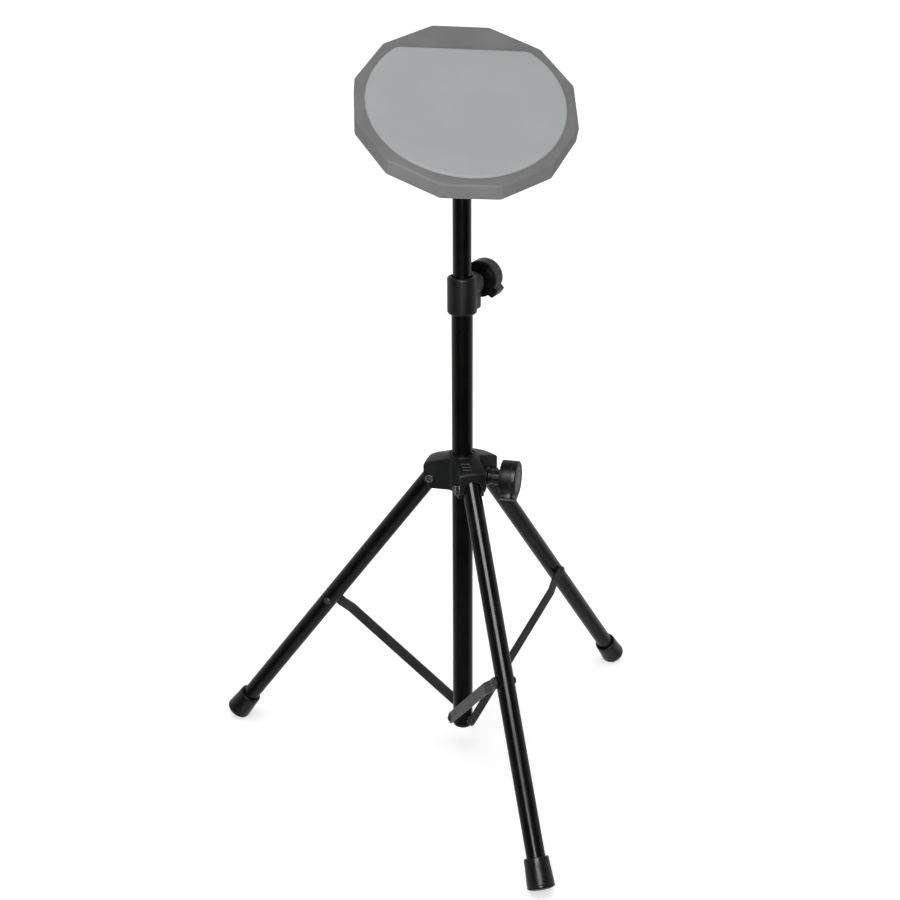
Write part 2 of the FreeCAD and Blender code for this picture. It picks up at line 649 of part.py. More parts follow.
# ---- pad ----------------------------------------------------------------------------------

def surface_blank(low, high, shrink=0.0):
    """Round outline with one straight side and rounded corners, as an upright solid."""
    radius = SURFACE_R - shrink
    chord = SURFACE_CHORD - shrink
    blank = cylinder(radius, low, high).common(block((-200, 200), (-200, chord), (low, high)))
    corners = [edge for edge in upright_edges(blank) if edge.BoundBox.YMin > chord - 1]
    return blank.makeFillet(SURFACE_CORNER - shrink, corners)


def pad_base():
    """Twelve-sided base with rounded corners, a rounded rim and a shallow seat for the surface."""
    outline = regular_outline(PAD_SIDES, PAD_R, 180.0 / PAD_SIDES)
    body = prism(outline, PAD_BACK, PAD_TOP)
    body = body.makeFillet(PAD_CORNER, upright_edges(body))
    body = body.makeFillet(PAD_RIM, edges_at_height(body, PAD_TOP))
    body = body.makeFillet(2.0, edges_at_height(body, PAD_BACK))
    body = body.cut(surface_blank(PAD_TOP - SURFACE_SINK, PAD_TOP + 1))
    return body.cut(cylinder(INSERT_R, PAD_BACK - 1, PAD_BACK + INSERT_LENGTH))


def pad_surface():
    """Rubber playing surface bonded into the base's seat."""
    top = PAD_TOP + SURFACE_PROUD
    body = surface_blank(PAD_TOP - SURFACE_SINK, top)
    return body.makeFillet(1.2, edges_at_height(body, top))


def pad_insert():
    """Threaded bush in the base's back, closed at its inner end."""
    bush = cylinder(INSERT_R, PAD_BACK, PAD_BACK + INSERT_LENGTH)
    return bush.cut(cylinder(INSERT_BORE_R, PAD_BACK - 1, PAD_BACK + INSERT_LENGTH - 1.5))


def pad_grip_sheet():
    """Non-slip sheet on the base's back."""
    return tube(GRIP_R, INSERT_R, PAD_BACK - GRIP_THICK, PAD_BACK)


# ---- assembly -----------------------------------------------------------------------------

def mast_nodes():
    return {
        "lower_tube": [lower_tube()],
        "bottom_plug": [bottom_plug()],
        "stay_rivets": stay_rivets(),
        "stay_washers": stay_washers(),
        "collar": [collar()],
        "hub": [hub()],
        "leg_pivot_bolts": leg_pivot_bolts(),
        "leg_pivot_nuts": leg_pivot_nuts(),
    }


def clamp_nodes(name, azimuth, height, tube_r, knob_turn):
    """The five pieces of one clamp."""
    pieces = {
        "nut": clamp_nut(),
        "shoe": clamp_shoe(tube_r),
        "screw": clamp_screw(),
        "knob": placed(clamp_knob(), Placement(ORIGIN, Rotation(Z_AXIS, knob_turn))),
        "knob_cap": clamp_knob_cap(),
    }
    frame = clamp_frame(azimuth, height)
    return {f"{name}_{piece}": [placed(solid, frame)] for piece, solid in pieces.items()}


def leg_nodes(letter, azimuth):
    """One leg with its foot, plug, rivet and stay bar."""
    on_leg = leg_frame(azimuth)
    on_stay = stay_frame(azimuth)
    above_floor = block((-400, 400), (-400, 400), (0, 100))
    return {
        f"leg_tube_{letter}": [placed(leg_tube(), on_leg)],
        f"leg_plug_{letter}": [placed(leg_plug(), on_leg)],
        f"foot_{letter}": [placed(foot(), on_leg).common(above_floor)],
        f"leg_rivet_{letter}": [placed(leg_rivet(), on_leg)],
        f"stay_bar_{letter}": [placed(stay_bar(), on_stay)],
        f"stay_rivet_head_{letter}": [placed(stay_rivet_head(), on_stay)],
    }


def upper_nodes():
    on_yoke = yoke_frame()
    on_head = tilter_frame()
    on_pad = pad_frame()
    return {
        "upper_tube": [upper_tube()],
        "glide_bush": [glide_bush()],
        "tilter_yoke": [placed(tilter_yoke(), on_yoke)],
        "tilter_bolt": [placed(tilter_bolt(), on_yoke)],
        "tilter_wing_nut": [placed(tilter_wing_nut(), on_yoke)],
        "tilter_head": [placed(tilter_head(), on_head)],
        "pad_stud": [placed(pad_stud(), on_head)],
        "lock_nut": [placed(lock_nut(), on_head)],
        "stud_washer": [placed(stud_washer(), on_head)],
        "pad_base": [placed(pad_base(), on_pad)],
        "pad_surface": [placed(pad_surface(), on_pad)],
        "pad_insert": [placed(pad_insert(), on_pad)],
        "pad_grip_sheet": [placed(pad_grip_sheet(), on_pad)],
    }


def all_nodes():
    nodes = mast_nodes()
    nodes.update(clamp_nodes("collar", COLLAR_KNOB_AZIMUTH, COLLAR_KNOB_Z, UPPER_TUBE_R, COLLAR_KNOB_TURN))
    nodes.update(clamp_nodes("hub", HUB_KNOB_AZIMUTH, HUB_KNOB_Z, LOWER_TUBE_R, HUB_KNOB_TURN))
    for letter, azimuth in LEG_AZIMUTHS.items():
        nodes.update(leg_nodes(letter, azimuth))
    nodes.update(upper_nodes())
    return nodes


def one_shape(solids):
    """A single solid, or a compound of the solids that share a node."""
    singles = [solid for shape in solids for solid in shape.Solids]
    return singles[0] if len(singles) == 1 else Part.makeCompound(singles)


def main():
    os.makedirs("parts", exist_ok=True)
    shapes = {name: one_shape(solids) for name, solids in all_nodes().items()}
    box = FreeCAD.BoundBox()
    for shape in shapes.values():
        box.add(shape.optimalBoundingBox(False))
    mast_offset = Vector(-box.Center.x, -box.Center.y, 0)
    for name, shape in shapes.items():
        shape.translate(mast_offset)
        shape.exportStep(f"parts/{name}.step")
    print(f"mast axis at x {mast_offset.x:.4f}, y {mast_offset.y:.4f}")
    print(f"leg angle {LEG_ANGLE:.4f}, stay angle {STAY_ANGLE:.4f}, folded {STAY_ANGLE_FOLDED:.4f}")
    print(f"hub travel {HUB_TRAVEL:.4f}")
    for name, shape in shapes.items():
        print(f"{name}: {len(shape.Solids)} solid(s), valid {shape.isValid()}, {shape.Volume:.0f} mm3")


main()
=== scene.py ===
import json
from math import cos, degrees, pi, radians, sin, sqrt, tau

import bmesh
import bpy
from mathutils import Matrix, Vector


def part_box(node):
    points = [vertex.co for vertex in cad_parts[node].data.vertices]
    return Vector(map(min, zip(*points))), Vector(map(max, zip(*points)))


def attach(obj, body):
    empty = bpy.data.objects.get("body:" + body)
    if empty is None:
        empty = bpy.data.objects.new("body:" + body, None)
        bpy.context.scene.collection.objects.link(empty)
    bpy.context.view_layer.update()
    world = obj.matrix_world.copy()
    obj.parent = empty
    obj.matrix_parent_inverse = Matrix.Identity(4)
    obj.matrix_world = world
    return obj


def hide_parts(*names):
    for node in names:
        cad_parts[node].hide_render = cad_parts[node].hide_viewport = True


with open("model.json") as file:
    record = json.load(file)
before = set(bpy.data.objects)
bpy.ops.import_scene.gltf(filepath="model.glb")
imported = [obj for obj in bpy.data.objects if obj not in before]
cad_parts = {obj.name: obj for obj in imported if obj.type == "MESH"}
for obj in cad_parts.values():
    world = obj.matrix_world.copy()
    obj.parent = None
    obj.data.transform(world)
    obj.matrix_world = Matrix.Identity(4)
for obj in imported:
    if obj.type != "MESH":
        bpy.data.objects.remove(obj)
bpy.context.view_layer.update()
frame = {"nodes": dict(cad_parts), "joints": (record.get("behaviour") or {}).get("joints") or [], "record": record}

# Looks for a practice pad on a folding tripod stand. The frame is in metres, Z up, and the
# stand's front faces -Y. Pieces are drawn in millimetres and then moved to their bodies.
MM = 0.001
UP = Vector((0, 0, 1))
JOINTS = {joint["name"]: joint for joint in frame["joints"]}

# CAD nodes: rounded edges, and the distances within which points are joined (m)
EDGE_BEVEL = 0.25 * MM
EDGE_ANGLE = 38.0              # degrees, the flattest edge that is rounded
SEAM_WELD = 2e-6
STRIP_WELD = 1e-6

# Camera, from the foot of the mast axis (m and radians)
CAMERA_BACK = 1.4363           # in front of the mast axis, along -Y
CAMERA_SIDE = -0.0024
CAMERA_HEIGHT = 0.9286
CAMERA_PITCH = 0.3743          # below level
CAMERA_YAW = 0.0075
CAMERA_ROLL = -0.0053
CAMERA_LENS = 58.09            # mm
CAMERA_SENSOR = 36.0           # mm

# Surroundings. A glow is (start, end, brightness at start, brightness at end), where start and
# end are parts of the view direction.
DIFFUSE_FILL = 0.42            # even light from all round
BACKDROP = 1.0                 # brightness of the background in the picture
WALL_GLOW = (-0.50, 0.45, 0.006, 0.56)      # reflected brightness from front to back
CEILING_DIM = (0.30, 0.80, 1.0, 0.30)       # dims that glow from low down to high up
FLOOR_GLOW = (-0.42, -0.78, 0.0, 0.42)      # reflected brightness from level to straight down
FLOOR_SIZE = 30.0
FLOOR_CLEAR = (0.10, 0.9, 0.45, 0.75)       # near, far, and the floor's own light at each

# Soft boxes: place from the foot of the mast axis (m), size (m) and power (W)
LIGHT_AIM = 0.35               # height on the mast axis that they point at
SOFTBOXES = {
    "key_light": ((-0.36, -1.95, 1.28), (0.6, 0.8), 4.5),
    "top_light": ((-0.2, -0.1, 2.5), (2.4, 2.4), 18.0),
    "front_fill": ((-0.2, -1.8, 0.25), (1.2, 0.5), 14.5),
    "high_glint": ((-0.05, -1.55, 1.90), (1.2, 0.9), 32.0),
    "low_glint": ((0.0, -1.8, 0.80), (0.4, 0.4), 9.0),
}
FILL_LIGHTS = ("top_light", "front_fill")   # not seen in reflections
GLINT_LIGHTS = ("high_glint", "low_glint")  # seen in reflections only

# Rubber foot, along the leg's axis from its pivot (mm)
FOOT_END = 408.7
FOOT_LENGTH = 30.0
FOOT_TOP_R = 12.5
FOOT_END_R = 14.0
FOOT_DOME = 1.6
FOOT_MOUTH = 0.7               # rounding of the mouth
FOOT_RIM = 2.2                 # rounding of the end
FOOT_FLARE = ((8, 0.35), (15, 0.75), (22, 1.15))    # distance from the mouth, extra radius
FOOT_RINGS = (8.6, 6.0, 3.4)   # radii of the grooves in the end
FOOT_RING_DEPTH = 0.8
LEG_R = 9.525

# Hand knob, along the screw's axis from the mast axis (mm)
KNOB_STEM_START = 29.3
KNOB_STEM_R = 8.3
KNOB_NECK_R = KNOB_STEM_R - 0.9
KNOB_BORE_R = 4.2
KNOB_BACK = 43.5
KNOB_DEPTH = 18.0
KNOB_FRONT = KNOB_BACK + KNOB_DEPTH
KNOB_HOLLOW = 11.0
KNOB_WALL = 2.2
KNOB_DISC_R = 19.3
KNOB_WING_R = 23.8
KNOB_WING_BASE = 19.0          # half angles of the thumb wing
KNOB_WING_TIP = 12.0
KNOB_WING_CROWN = 0.35
KNOB_NOTCH_ANGLE = 5.0
KNOB_NOTCH_DEPTH = 1.0
KNOB_CAP_R = 15.2
KNOB_SEAT = 2.2                # depth of the cap's seat
KNOB_PHASE = {"collar": -49.0, "hub": -33.0}
KNOB_SEGMENTS = 288
CAP_R = KNOB_CAP_R - 0.45
CAP_DOME_R = CAP_R - 1.6
CAP_DOME = 0.7
CAP_PIPS = 16
CAP_PIP_PLACE = 9.4
CAP_PIP_SHAPE = (0.9, 0.9, 0.35, 1.0)

# Pad, along its own axis from the tilt pivot (mm)
PAD_SPIN = -5.0                # degrees about the stud
PAD_BACK = 27.5
PAD_TOP = 46.0
FACE_R = 97.0
FACE_CHORD = 71.7
FACE_CORNER = 10.0
FACE_CORNER_LEAST = 0.6
FACE_PROUD = 2.2
FACE_SINK = 1.0
FACE_EDGE = 1.5                # radius of the rounded edge
FACE_EDGE_STEPS = 6
FACE_CROWN = 0.35
FACE_SHARES = (0.985, 0.96, 0.92, 0.86, 0.78, 0.68, 0.56, 0.42, 0.28, 0.14, 0.04)
GRIP_R = 88.0
GRIP_HOLE_R = 6.6
GRIP_THICK = 1.3
GRIP_RIBS = 26
GRIP_VALLEY = 0.45             # depth between the ribs
GRIP_MARGIN = 2.0              # plain band inside and outside the ribs


# ---- materials --------------------------------------------------------------------------

class Nodes:
    """Small helper that builds one node material."""

    def __init__(self, name):
        self.material = bpy.data.materials.new(name)
        self.material.use_nodes = True
        self.tree = self.material.node_tree
        self.shader = self.tree.nodes["Principled BSDF"]
        self.place = self.add("ShaderNodeTexCoord").outputs["Object"]

    def add(self, kind, **settings):
        node = self.tree.nodes.new(kind)
        for key, value in settings.items():
            setattr(node, key, value)
        return node

    def link(self, source, target):
        self.tree.links.new(source, target)

    def stretched(self, scale):
        """Object coordinates scaled by a vector, for grain that runs one way."""
        mapping = self.add("ShaderNodeMapping")
        mapping.inputs["Scale"].default_value = scale
        self.link(self.place, mapping.inputs["Vector"])
        return mapping.outputs["Vector"]

    def noise(self, scale, detail=3.0, roughness=0.5, vector=None):
        node = self.add("ShaderNodeTexNoise")
        node.inputs["Scale"].default_value = scale
        node.inputs["Detail"].default_value = detail
        node.inputs["Roughness"].default_value = roughness
        self.link(vector or self.place, node.inputs["Vector"])
        return node.outputs["Fac"]

    def ramp(self, source, low, high, low_value=0.0, high_value=1.0):
        """Value that goes from low_value to high_value as source goes from low to high."""
        node = self.add("ShaderNodeMapRange")
        node.inputs["From Min"].default_value = low
        node.inputs["From Max"].default_value = high
        node.inputs["To Min"].default_value = low_value
        node.inputs["To Max"].default_value = high_value
        self.link(source, node.inputs["Value"])
        return node.outputs["Result"]

    def wander(self, noise, low_value=0.0, high_value=1.0):
        """Value that wanders between two values with a noise, which stays mostly in 0.3 to 0.7."""
        return self.ramp(noise, 0.3, 0.7, low_value, high_value)

    def blend_colours(self, factor, first, second):
        """Colour between two colours or colour sockets."""
        node = self.add("ShaderNodeMix", data_type="RGBA")
        self.link(factor, node.inputs["Factor"])
        for socket, colour in ((node.inputs[6], first), (node.inputs[7], second)):
            if isinstance(colour, tuple):
                socket.default_value = (*colour, 1.0)
            else:
                self.link(colour, socket)
        return node.outputs[2]

    def edges(self, radius=0.0005):
        """1 within this distance of a sharp edge, 0 elsewhere: the mask where edge highlights are painted."""
        rounded = self.add("ShaderNodeBevel", samples=4)
        rounded.inputs["Radius"].default_value = radius
        geometry = self.add("ShaderNodeNewGeometry")
        match = self.add("ShaderNodeVectorMath", operation="DOT_PRODUCT")
        self.link(rounded.outputs["Normal"], match.inputs[0])
        self.link(geometry.outputs["Normal"], match.inputs[1])
        return self.ramp(match.outputs["Value"], 0.995, 0.90)

    def bump(self, height, strength, distance, under=None):
        node = self.add("ShaderNodeBump")
        node.inputs["Strength"].default_value = strength
        node.inputs["Distance"].default_value = distance
        self.link(height, node.inputs["Height"])
        if under:
            self.link(under, node.inputs["Normal"])
        return node.outputs["Normal"]

    def finish(self, colour, roughness, normal, **values):
        self.link(colour, self.shader.inputs["Base Color"])
        self.link(roughness, self.shader.inputs["Roughness"])
        self.link(normal, self.shader.inputs["Normal"])
        for key, value in values.items():
            self.shader.inputs[key.replace("_", " ")].default_value = value
        return self.material


def lighter(colour, factor, lift):
    return tuple(min(1.0, c * factor + lift) for c in colour)


def powder_coat(name, dark, light, gloss, peel):
    """Satin black coating with fine orange peel, faint dust and a painted highlight along sharp edges."""
    n = Nodes(name)
    mottle = n.ramp(n.noise(38.0, 4.0), 0.35, 0.65)
    dust = n.ramp(n.noise(240.0, 6.0, 0.65), 0.60, 0.80, high_value=0.35)
    body = n.blend_colours(mottle, dark, light)
    body = n.blend_colours(dust, body, lighter(light, 2.2, 0.002))
    # painted highlight: sharp edges turn a lighter grey
    body = n.blend_colours(n.edges(), body, (0.05, 0.05, 0.05))
    roughness = n.wander(n.noise(90.0, 5.0, 0.6), gloss * 0.85, gloss * 1.25)
    skin = n.bump(n.noise(1100.0, 2.0), peel, 0.0002)
    along = n.stretched((1800, 1800, 70))
    scuff = n.bump(n.noise(1.0, 5.0, 0.7, along), peel / 2, 0.0001, skin)
    return n.finish(body, roughness, scuff, Specular_IOR_Level=0.42)


def moulded_plastic(name, dark, light, gloss, grain=1500.0, depth=0.35):
    """Spark-textured moulding with slight flow marks and a painted highlight along sharp edges."""
    n = Nodes(name)
    flow = n.ramp(n.noise(26.0, 5.0, 0.6), 0.35, 0.65)
    fleck = n.ramp(n.noise(grain * 1.3, 2.0), 0.62, 0.75, high_value=0.5)
    body = n.blend_colours(flow, dark, light)
    body = n.blend_colours(fleck, body, lighter(light, 1.7, 0.003))
    # painted highlight: sharp edges turn lighter than the moulding
    body = n.blend_colours(n.edges(), body, lighter(light, 1.8, 0.04))
    roughness = n.wander(n.noise(60.0, 4.0), gloss - 0.06, gloss + 0.08)
    normal = n.bump(n.noise(grain, 3.0, 0.6), depth, 0.0002)
    return n.finish(body, roughness, normal)


def plated_metal(name, colour, gloss=0.28):
    """Bright metal with fine turned lines and small stains."""
    n = Nodes(name)
    stain = n.ramp(n.noise(420.0, 6.0, 0.7), 0.45, 0.75)
    body = n.blend_colours(stain, colour, tuple(c * 0.45 for c in colour))
    roughness = n.wander(n.noise(700.0, 4.0), gloss - 0.08, gloss + 0.15)
    turned = n.stretched((2500, 2500, 9000))
    normal = n.bump(n.noise(1.0, 4.0, 0.6, turned), 0.12, 0.0001)
    return n.finish(body, roughness, normal, Metallic=1.0)


def dark_bolt():
    """Blackened bolt with a bright painted highlight ring along its edges."""
    n = Nodes("blackened_bolt")
    stain = n.ramp(n.noise(500.0, 5.0, 0.7), 0.40, 0.70)
    body = n.blend_colours(stain, (0.035, 0.036, 0.035), (0.012, 0.012, 0.012))
    # painted highlight: a bright ring along the head's sharp edges
    body = n.blend_colours(n.edges(0.0009), body, (0.80, 0.80, 0.78))
    roughness = n.wander(n.noise(700.0, 4.0), 0.22, 0.38)
    normal = n.bump(n.noise(1500.0, 3.0, 0.6), 0.10, 0.0001)
    return n.finish(body, roughness, normal, Metallic=0.8)


def playing_rubber():
    """Pale gum rubber: fine talc mottling, tiny pores and a slight ripple."""
    n = Nodes("playing_rubber")
    cloud = n.wander(n.noise(14.0, 6.0, 0.55))
    speck = n.ramp(n.noise(900.0, 3.0, 0.7), 0.62, 0.78, high_value=0.6)
    body = n.blend_colours(cloud, (0.365, 0.378, 0.383), (0.405, 0.418, 0.423))
    body = n.blend_colours(speck, body, (0.47, 0.48, 0.485))
    roughness = n.wander(n.noise(35.0, 5.0), 0.62, 0.78)
    pores = n.bump(n.noise(1700.0, 4.0, 0.65), 0.30, 0.0003)
    ripple = n.bump(n.noise(45.0, 2.0), 0.10, 0.002, pores)
    return n.finish(body, roughness, ripple, Specular_IOR_Level=0.35, Sheen_Weight=0.15)


def foot_rubber():
    """Satin black rubber with dusty scuffs and a pale painted highlight along its edges."""
    n = Nodes("foot_rubber")
    scuff = n.ramp(n.noise(160.0, 6.0, 0.7), 0.52, 0.75, high_value=0.6)
    body = n.blend_colours(scuff, (0.006, 0.0065, 0.006), (0.016, 0.017, 0.016))
    # painted highlight: sharp edges turn a paler grey
    body = n.blend_colours(n.edges(0.0004), body, (0.06, 0.06, 0.06))
    roughness = n.wander(n.noise(80.0, 5.0), 0.22, 0.34)
    normal = n.bump(n.noise(900.0, 4.0, 0.6), 0.10, 0.0002)
    return n.finish(body, roughness, normal, Specular_IOR_Level=0.5)


def knob_cap_face():
    """Worn grey moulding of the knobs' end caps."""
    n = Nodes("knob_cap_face")
    worn = n.ramp(n.noise(330.0, 6.0, 0.7), 0.40, 0.68)
    body = n.blend_colours(worn, (0.035, 0.038, 0.036), (0.15, 0.155, 0.145))
    roughness = n.wander(n.noise(200.0, 4.0), 0.32, 0.50)
    normal = n.bump(n.noise(1200.0, 4.0, 0.65), 0.4, 0.0003)
    return n.finish(body, roughness, normal)


def floor_material():
    """Plain pale studio floor that clears to white away from the stand."""
    n = Nodes("studio_floor")
    cloud = n.wander(n.noise(1.2, 3.0))
    body = n.blend_colours(cloud, (0.90, 0.90, 0.90), (0.92, 0.92, 0.92))
    roughness = n.wander(n.noise(4.0), 0.80, 0.90)
    normal = n.bump(n.noise(60.0, 2.0), 0.02, 0.001)
    n.finish(body, roughness, normal, Specular_IOR_Level=0.1)
    distance = n.add("ShaderNodeVectorMath", operation="LENGTH")
    n.link(n.place, distance.inputs[0])
    clear = n.ramp(distance.outputs["Value"], *FLOOR_CLEAR)
    seen = n.add("ShaderNodeMath", operation="MULTIPLY")
    n.link(clear, seen.inputs[0])
    n.link(n.add("ShaderNodeLightPath").outputs["Is Camera Ray"], seen.inputs[1])
    n.shader.inputs["Emission Color"].default_value = (1.0, 1.0, 1.0, 1.0)
    n.link(seen.outputs[0], n.shader.inputs["Emission Strength"])
    return n.material


def make_materials():
    """Materials by slot: a darkest and a lightest colour, then roughness and grain."""
    return {
        "tube_paint": powder_coat(
            "tube_powder_coat", (0.002, 0.002, 0.002), (0.004, 0.004, 0.0035), 0.20, 0.03),
        "stay_paint": powder_coat(
            "stay_powder_coat", (0.018, 0.018, 0.017), (0.032, 0.032, 0.029), 0.38, 0.10),
        "moulding": moulded_plastic(
            "black_moulding", (0.003, 0.0035, 0.0035), (0.007, 0.008, 0.008), 0.40),
        "knob_plastic": moulded_plastic(
            "knob_plastic", (0.002, 0.0025, 0.0025), (0.005, 0.006, 0.006), 0.34, 1100.0),
        "knob_cap": knob_cap_face(),
        "nylon": moulded_plastic(
            "nylon", (0.55, 0.53, 0.47), (0.64, 0.62, 0.56), 0.45, 800.0, 0.15),
        "foot_rubber": foot_rubber(),
        "bright_steel": plated_metal("zinc_plated_steel", (0.62, 0.62, 0.60)),
        "dark_bolt": dark_bolt(),
        "brass_insert": plated_metal("turned_brass", (0.62, 0.46, 0.20), 0.30),
        "cast_head": moulded_plastic(
            "coated_casting", (0.010, 0.010, 0.010), (0.020, 0.020, 0.020), 0.36, 700.0, 0.5),
        "pad_board": moulded_plastic(
            "pad_board", (0.165, 0.168, 0.166), (0.195, 0.198, 0.195), 0.55, 1300.0, 0.30),
        "pad_rubber": playing_rubber(),
        "grip_rubber": moulded_plastic(
            "grip_rubber", (0.030, 0.030, 0.032), (0.050, 0.050, 0.052), 0.75, 900.0, 0.5),
    }


# ---- mesh helpers -----------------------------------------------------------------------

def frame_matrix(origin, z_axis, x_axis):
    """Matrix with this origin, z along z_axis and x as near x_axis as it can be."""
    z = Vector(z_axis).normalized()
    x = (Vector(x_axis) - Vector(x_axis).dot(z) * z).normalized()
    y = z.cross(x)
    matrix = Matrix((x, y, z)).transposed().to_4x4()
    matrix.translation = Vector(origin)
    return matrix


def add_piece(name, bm, matrix, body, material, replaced, smooth_angle):
    """Turns a bmesh in millimetres into a piece that rides on a body in place of a CAD node."""
    bmesh.ops.remove_doubles(bm, verts=bm.verts, dist=1e-4)
    bmesh.ops.recalc_face_normals(bm, faces=bm.faces)
    mesh = bpy.data.meshes.new(name)
    bm.to_mesh(mesh)
    bm.free()
    mesh.transform(matrix @ Matrix.Scale(MM, 4))
    mesh.materials.append(material)
    mesh.shade_smooth()
    mesh.set_sharp_from_angle(angle=radians(smooth_angle))
    piece = bpy.data.objects.new(name, mesh)
    bpy.context.scene.collection.objects.link(piece)
    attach(piece, body)
    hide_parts(replaced)


def shell(rings, closed=False):
    """Bmesh through rings of equally many (x, y, z) points.

    The first and last rings are capped, or with closed the last ring is joined to the first.
    """
    if closed:
        rings = rings + [rings[0]]
    bm = bmesh.new()
    grid = [[bm.verts.new(point) for point in ring] for ring in rings]
    count = len(grid[0])
    for low, high in zip(grid, grid[1:]):
        for i in range(count):
            j = (i + 1) % count
            bm.faces.new((low[i], low[j], high[j], high[i]))
    if not closed:
        bm.faces.new(grid[0])
        bm.faces.new(grid[-1])
    return bm


def circle(radius, z, segments):
    angles = [tau * i / segments for i in range(segments)]
    return [(radius * cos(angle), radius * sin(angle), z) for angle in angles]


def circles(profile, segments=96):
    """One ring for each (radius, z) point of a profile."""
    return [circle(radius, z, segments) for radius, z in profile]


def arc(centre, radius, start, end, steps):
    """(r, z) points of an arc, angles in degrees from +r towards +z."""
    angles = [radians(start + (end - start) * i / steps) for i in range(steps + 1)]
    return [(centre[0] + radius * cos(a), centre[1] + radius * sin(a)) for a in angles]


# ---- frames taken from the CAD joints -----------------------------------------------------

def mast_axis():
    low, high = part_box("lower_tube")
    middle = (low + high) / 2
    return Vector((middle.x, middle.y, 0))


def leg_matrix(letter):
    """Origin at the leg's pivot, z down along the leg, y across it."""
    joint = JOINTS[f"leg_{letter}_fold"]
    pivot = Vector(joint["pos_m"])
    points = [vertex.co for vertex in frame["nodes"][f"leg_tube_{letter}"].data.vertices]
    reach = max((point - pivot).length for point in points)
    end_ring = [point for point in points if (point - pivot).length > reach - 0.05 * MM]
    end = sum(end_ring, Vector()) / len(end_ring)
    across = Vector(joint["axis"])
    along = (end - pivot) - (end - pivot).dot(across) * across
    return frame_matrix(pivot, along, across.cross(along))


def clamp_matrix(name):
    """Origin on the mast axis, z out along the clamp screw, x down."""
    joint = JOINTS[f"{name}_clamp_turn"]
    origin = mast_axis() + Vector((0, 0, joint["pos_m"][2]))
    return frame_matrix(origin, joint["axis"], -UP)


def pad_matrix():
    """Origin at the tilt pivot, z along the stud, y towards the face's straight side."""
    tilt = JOINTS["pad_tilt"]
    stud = Vector(JOINTS["pad_turn"]["axis"])
    spin = Matrix.Rotation(radians(PAD_SPIN), 4, stud)
    return frame_matrix(tilt["pos_m"], stud, spin @ Vector(tilt["axis"]))


# ---- pieces -----------------------------------------------------------------------------

def face_outline(inset, z, arc_steps=132, corner_steps=16, chord_steps=24):
    """Round outline with one straight side, moved in by inset."""
    radius = FACE_R - inset
    chord = FACE_CHORD - inset
    corner = max(FACE_CORNER - inset, FACE_CORNER_LEAST)
    centre_y = chord - corner
    centre_x = sqrt((radius - corner) ** 2 - centre_y ** 2)
    touch = Vector((centre_x, centre_y)).normalized()
    start = Vector((1, 0)).angle_signed(touch) * -1
    points = []
    for i in range(corner_steps):
        angle = pi / 2 + (start - pi / 2) * i / corner_steps
        points.append((centre_x + corner * cos(angle), centre_y + corner * sin(angle), z))
    sweep = -(2 * start + pi)
    for i in range(arc_steps + 1):
        angle = start + sweep * i / arc_steps
        points.append((radius * cos(angle), radius * sin(angle), z))
    for i in range(1, corner_steps + 1):
        angle = pi - start + (pi / 2 - (pi - start)) * i / corner_steps
        points.append((-centre_x + corner * cos(angle), centre_y + corner * sin(angle), z))
    for i in range(1, chord_steps):
        points.append((-centre_x + 2 * centre_x * i / chord_steps, chord, z))
    return points


def build_playing_face(materials):
    """Crowned rubber sheet with a soft rounded edge."""
    top = PAD_TOP + FACE_PROUD
    rings = [face_outline(0.0, PAD_TOP - FACE_SINK), face_outline(0.0, PAD_TOP + 0.15),
             face_outline(0.12, top - FACE_EDGE - 0.1)]
    for i in range(FACE_EDGE_STEPS + 1):
        angle = pi / 2 * i / FACE_EDGE_STEPS
        rings.append(face_outline(0.15 + FACE_EDGE * (1 - cos(angle)),
                                  top - FACE_EDGE * (1 - sin(angle))))
    rim = rings[-1]
    for share in FACE_SHARES:
        rise = FACE_CROWN * (1 - share ** 2)
        rings.append([(x * share, y * share, z + rise) for x, y, z in rim])
    add_piece("playing_face", shell(rings), pad_matrix(), "pad", materials["pad_rubber"],
              "pad_surface", 60.0)


def build_grip_sheet(materials):
    """Non-slip sheet with concentric ribs on its outer side."""
    outer = PAD_BACK - GRIP_THICK
    valley = outer + GRIP_VALLEY
    profile = [(GRIP_HOLE_R, PAD_BACK), (GRIP_HOLE_R, outer + 0.3)]
    pitch = (GRIP_R - GRIP_HOLE_R - 2 * GRIP_MARGIN) / GRIP_RIBS
    for rib in range(GRIP_RIBS):
        start = GRIP_HOLE_R + GRIP_MARGIN + rib * pitch
        profile += [(start, valley), (start + 0.25 * pitch, outer),
                    (start + 0.55 * pitch, outer), (start + 0.8 * pitch, valley)]
    profile += [(GRIP_R - 1.5, valley), (GRIP_R - 1.0, outer), (GRIP_R - 0.3, outer + 0.1),
                (GRIP_R, outer + 0.5), (GRIP_R, PAD_BACK)]
    add_piece("grip_sheet", shell(circles(profile, 128), closed=True), pad_matrix(), "pad",
              materials["grip_rubber"], "pad_grip_sheet", 50.0)


def foot_dome(radius):
    """Height of the gently domed end at this radius."""
    return FOOT_END + FOOT_DOME * (1 - (radius / FOOT_END_R) ** 2)


